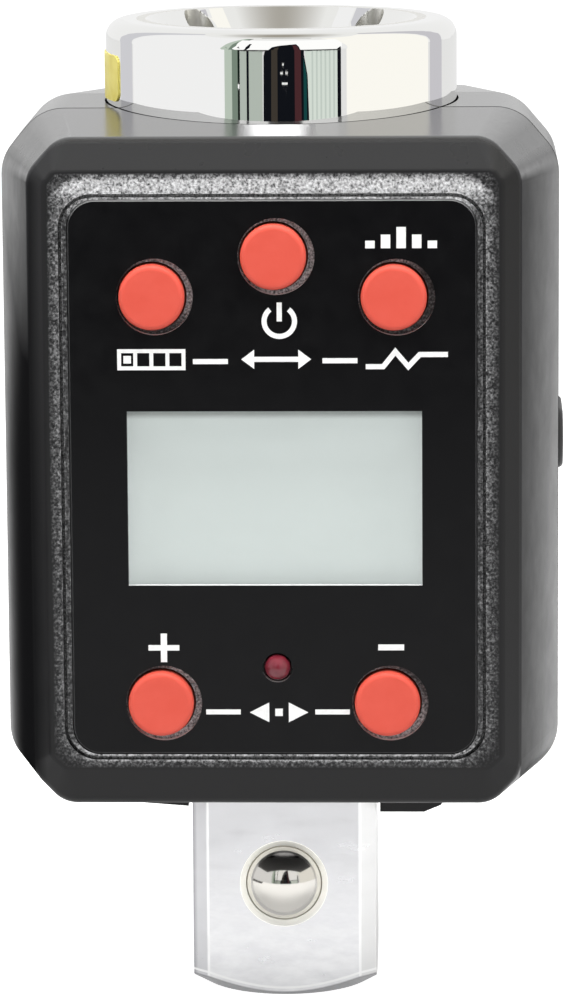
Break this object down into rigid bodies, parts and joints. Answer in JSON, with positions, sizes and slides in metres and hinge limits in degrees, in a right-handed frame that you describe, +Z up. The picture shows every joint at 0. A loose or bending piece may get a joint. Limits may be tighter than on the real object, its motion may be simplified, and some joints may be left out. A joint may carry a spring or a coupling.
{
  "type": "digital torque meter",
  "caption": "Square-drive digital torque meter: chromed socket collar and drive through a dark moulded housing with a blank display, red keys and a battery cover.",
  "frame": {"origin": "centre of the square drive's end face", "axes": "+Z up the torque shaft towards the socket collar, +X to the right of the display, the display faces -Y"},
  "size_m": [0.0383, 0.0395, 0.0675],
  "materials": {
    "chrome_steel": "polished chrome, satin on the square drive",
    "ball_steel": "polished",
    "spring_steel": "bright wire",
    "gauge_film": "thin film",
    "gasket_rubber": "matte",
    "housing_plastic": "fine spark texture",
    "label_gloss": "gloss",
    "window_clear": "clear",
    "lcd_glass": "blank display, satin",
    "frame_plastic": "moulded",
    "zebra_rubber": "matte",
    "board_green": "solder mask",
    "screw_steel": "zinc",
    "switch_plastic": "moulded",
    "chip_plastic": "moulded",
    "led_red": "tinted lens",
    "flex_film": "polyimide",
    "key_red": "semi-gloss",
    "cell_steel": "satin",
    "contact_metal": "plated",
    "lead_red": "wire insulation",
    "plug_rubber": "matte",
    "sticker_yellow": "paper label, bare"
  },
  "bodies": {
    "meter_body": {"torque_shaft": "chrome_steel", "detent_spring": "spring_steel", "strain_gauges": "gauge_film", "upper_gasket": "gasket_rubber", "lower_gasket": "gasket_rubber", "front_shell": "housing_plastic", "back_shell": "housing_plastic", "face_label": "label_gloss", "display_window": "window_clear", "lcd_panel": "lcd_glass", "lcd_frame": "frame_plastic", "zebra_strips": "zebra_rubber", "main_board": "board_green", "board_screws": "screw_steel", "case_screws": "screw_steel", "key_switches": "switch_plastic", "board_chips": "chip_plastic", "buzzer": "chip_plastic", "status_led": "led_red", "gauge_flex": "flex_film", "coin_cell": "cell_steel", "positive_contact": "contact_metal", "negative_contact": "contact_metal", "battery_leads": "lead_red", "port_board": "board_green", "data_port": "contact_metal", "calibration_sticker": "sticker_yellow"},
    "detent_ball": {"detent_ball": "ball_steel"},
    "battery_cover": {"battery_cover": "housing_plastic"},
    "port_plug": {"port_plug": "plug_rubber"},
    "memory_key": {"memory_key": "key_red"},
    "power_key": {"power_key": "key_red"},
    "peak_key": {"peak_key": "key_red"},
    "plus_key": {"plus_key": "key_red"},
    "minus_key": {"minus_key": "key_red"}
  },
  "joints": [
    {"name": "ball_press", "type": "slide", "parent": "meter_body", "child": "detent_ball", "axis": [0, 1, 0], "range_m": [0, 0.0014], "stiffness_N_per_m": 4000, "springref_m": -0.0006, "deforming": ["detent_spring"]},
    {"name": "memory_press", "type": "slide", "parent": "meter_body", "child": "memory_key", "axis": [0, 1, 0], "range_m": [0, 0.0004], "stiffness_N_per_m": 2500, "springref_m": -0.0003},
    {"name": "power_press", "type": "slide", "parent": "meter_body", "child": "power_key", "axis": [0, 1, 0], "range_m": [0, 0.0004], "stiffness_N_per_m": 2500, "springref_m": -0.0003},
    {"name": "peak_press", "type": "slide", "parent": "meter_body", "child": "peak_key", "axis": [0, 1, 0], "range_m": [0, 0.0004], "stiffness_N_per_m": 2500, "springref_m": -0.0003},
    {"name": "plus_press", "type": "slide", "parent": "meter_body", "child": "plus_key", "axis": [0, 1, 0], "range_m": [0, 0.0004], "stiffness_N_per_m": 2500, "springref_m": -0.0003},
    {"name": "minus_press", "type": "slide", "parent": "meter_body", "child": "minus_key", "axis": [0, 1, 0], "range_m": [0, 0.0004], "stiffness_N_per_m": 2500, "springref_m": -0.0003},
    {"name": "cover_slide", "type": "slide", "parent": "meter_body", "child": "battery_cover", "axis": [0, 0, -1], "range_m": [0, 0.0315]},
    {"name": "plug_pull", "type": "slide", "parent": "meter_body", "child": "port_plug", "axis": [1, 0, 0], "range_m": [0, 0.006]}
  ]
}
